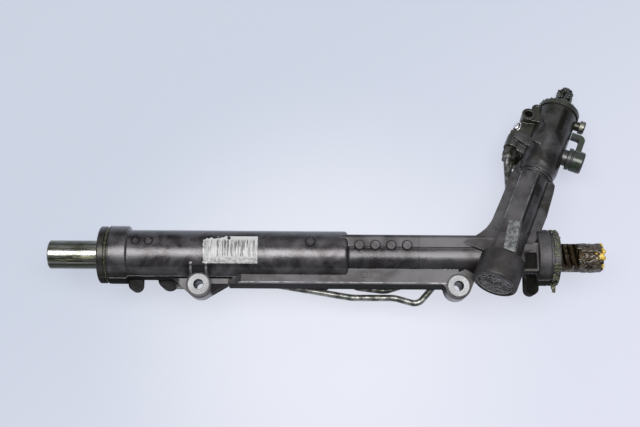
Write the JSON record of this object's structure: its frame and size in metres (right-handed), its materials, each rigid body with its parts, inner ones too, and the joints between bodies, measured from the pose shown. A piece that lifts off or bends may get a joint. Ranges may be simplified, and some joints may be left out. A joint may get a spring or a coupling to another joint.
{
  "type": "steering rack",
  "caption": "Hydraulic rack and pinion steering gear: cast housing, sliding rack bar, inclined pinion and valve tower, fluid pipes, bolt eyes.",
  "frame": {"origin": "midway between the two mounting bolt holes, on the face of the bolt eyes that seats on the subframe", "axes": "+X along the rack towards the pinion end, +Y from the bolt eyes towards the pinion tower, +Z along the mounting bolts, away from the subframe"},
  "size_m": [0.5894, 0.2543, 0.1125],
  "materials": {
    "cast_aluminium": "dark cast skin, satin, oily",
    "bar_steel": "ground, greased",
    "piston_steel": "turned",
    "bearing_steel": "ground and polished",
    "valve_steel": "ground",
    "shaft_steel": "greasy, dark",
    "gland_aluminium": "turned",
    "seal_rubber": "oiled",
    "seal_ptfe": "filled PTFE, brown",
    "bush_liner": "filled polymer on steel",
    "spring_steel": "wire",
    "cap_steel": "blackened, oily",
    "nut_steel": "zinc plated, tarnished",
    "pipe_steel": "black coated, worn bright in places",
    "cap_rubber": "black, greasy",
    "port_cap_plastic": "black, oily",
    "grease": "old grease, olive to dark brown, lumpy",
    "label_paper": "bare stuck-on label, yellowed and rubbed",
    "plate_metal": "bare stamped plate, scuffed",
    "plug_zinc": "bright zinc"
  },
  "bodies": {
    "housing_body": {"housing": "cast_aluminium", "left_gland": "gland_aluminium", "gland_o_ring": "seal_rubber", "gland_retaining_ring": "spring_steel", "rack_bush": "bush_liner", "outer_rod_seal": "seal_rubber", "inner_rod_seal": "seal_rubber", "seal_backup_ring": "piston_steel", "pinion_bottom_cap": "cap_steel", "lower_valve_seal": "seal_rubber", "input_shaft_seal": "seal_rubber", "shaft_retaining_ring": "spring_steel", "dust_cap": "cap_rubber", "yoke_spring": "spring_steel", "yoke_plug": "cap_steel", "yoke_lock_nut": "nut_steel", "long_pipe": "pipe_steel", "short_pipe": "pipe_steel", "pipe_nuts": "nut_steel", "gallery_plug": "plug_zinc", "feed_port_cap": "port_cap_plastic", "side_plug": "nut_steel", "lower_bearing_outer_race": "bearing_steel", "lower_bearing_balls": "bearing_steel", "middle_bearing_outer_race": "bearing_steel", "middle_bearing_balls": "bearing_steel", "top_bearing_outer_race": "bearing_steel", "top_bearing_balls": "bearing_steel"},
    "rack": {"rack_bar": "bar_steel", "piston": "piston_steel", "piston_ring": "seal_ptfe"},
    "pinion": {"pinion_shaft": "valve_steel", "pinion_lock_nut": "nut_steel", "lower_bearing_inner_race": "bearing_steel", "middle_bearing_inner_race": "bearing_steel", "valve_sleeve": "valve_steel", "sleeve_seal_rings": "seal_ptfe"},
    "input": {"input_shaft": "shaft_steel", "torsion_bar": "spring_steel", "torsion_pin": "spring_steel", "top_bearing_inner_race": "bearing_steel"},
    "yoke_body": {"yoke": "gland_aluminium", "yoke_liner": "bush_liner", "yoke_o_ring": "seal_rubber"}
  },
  "joints": [
    {"name": "rack_slide", "type": "slide", "parent": "housing_body", "child": "rack", "axis": [1, 0, 0], "range_m": [-0.0605, 0.0675]},
    {"name": "pinion_spin", "type": "hinge", "parent": "housing_body", "child": "pinion", "pos_m": [0.1884, 0.03854, 0.03543], "axis": [0.3827, 0.8787, -0.2855], "range_deg": [-524, 470]},
    {"name": "input_twist", "type": "hinge", "parent": "pinion", "child": "input", "pos_m": [0.1884, 0.03854, 0.03543], "axis": [0.3827, 0.8787, -0.2855], "range_deg": [-4.5, 4.5], "stiffness_Nm_per_rad": 2},
    {"name": "yoke_float", "type": "slide", "parent": "housing_body", "child": "yoke_body", "axis": [0, -0.309, -0.9511], "range_m": [0, 0.0001], "stiffness_N_per_m": 2000, "springref_m": -0.01}
  ],
  "couplings": [
    {"joint": "pinion_spin", "follows": "rack_slide", "rad_per_m": -135.43}
  ]
}
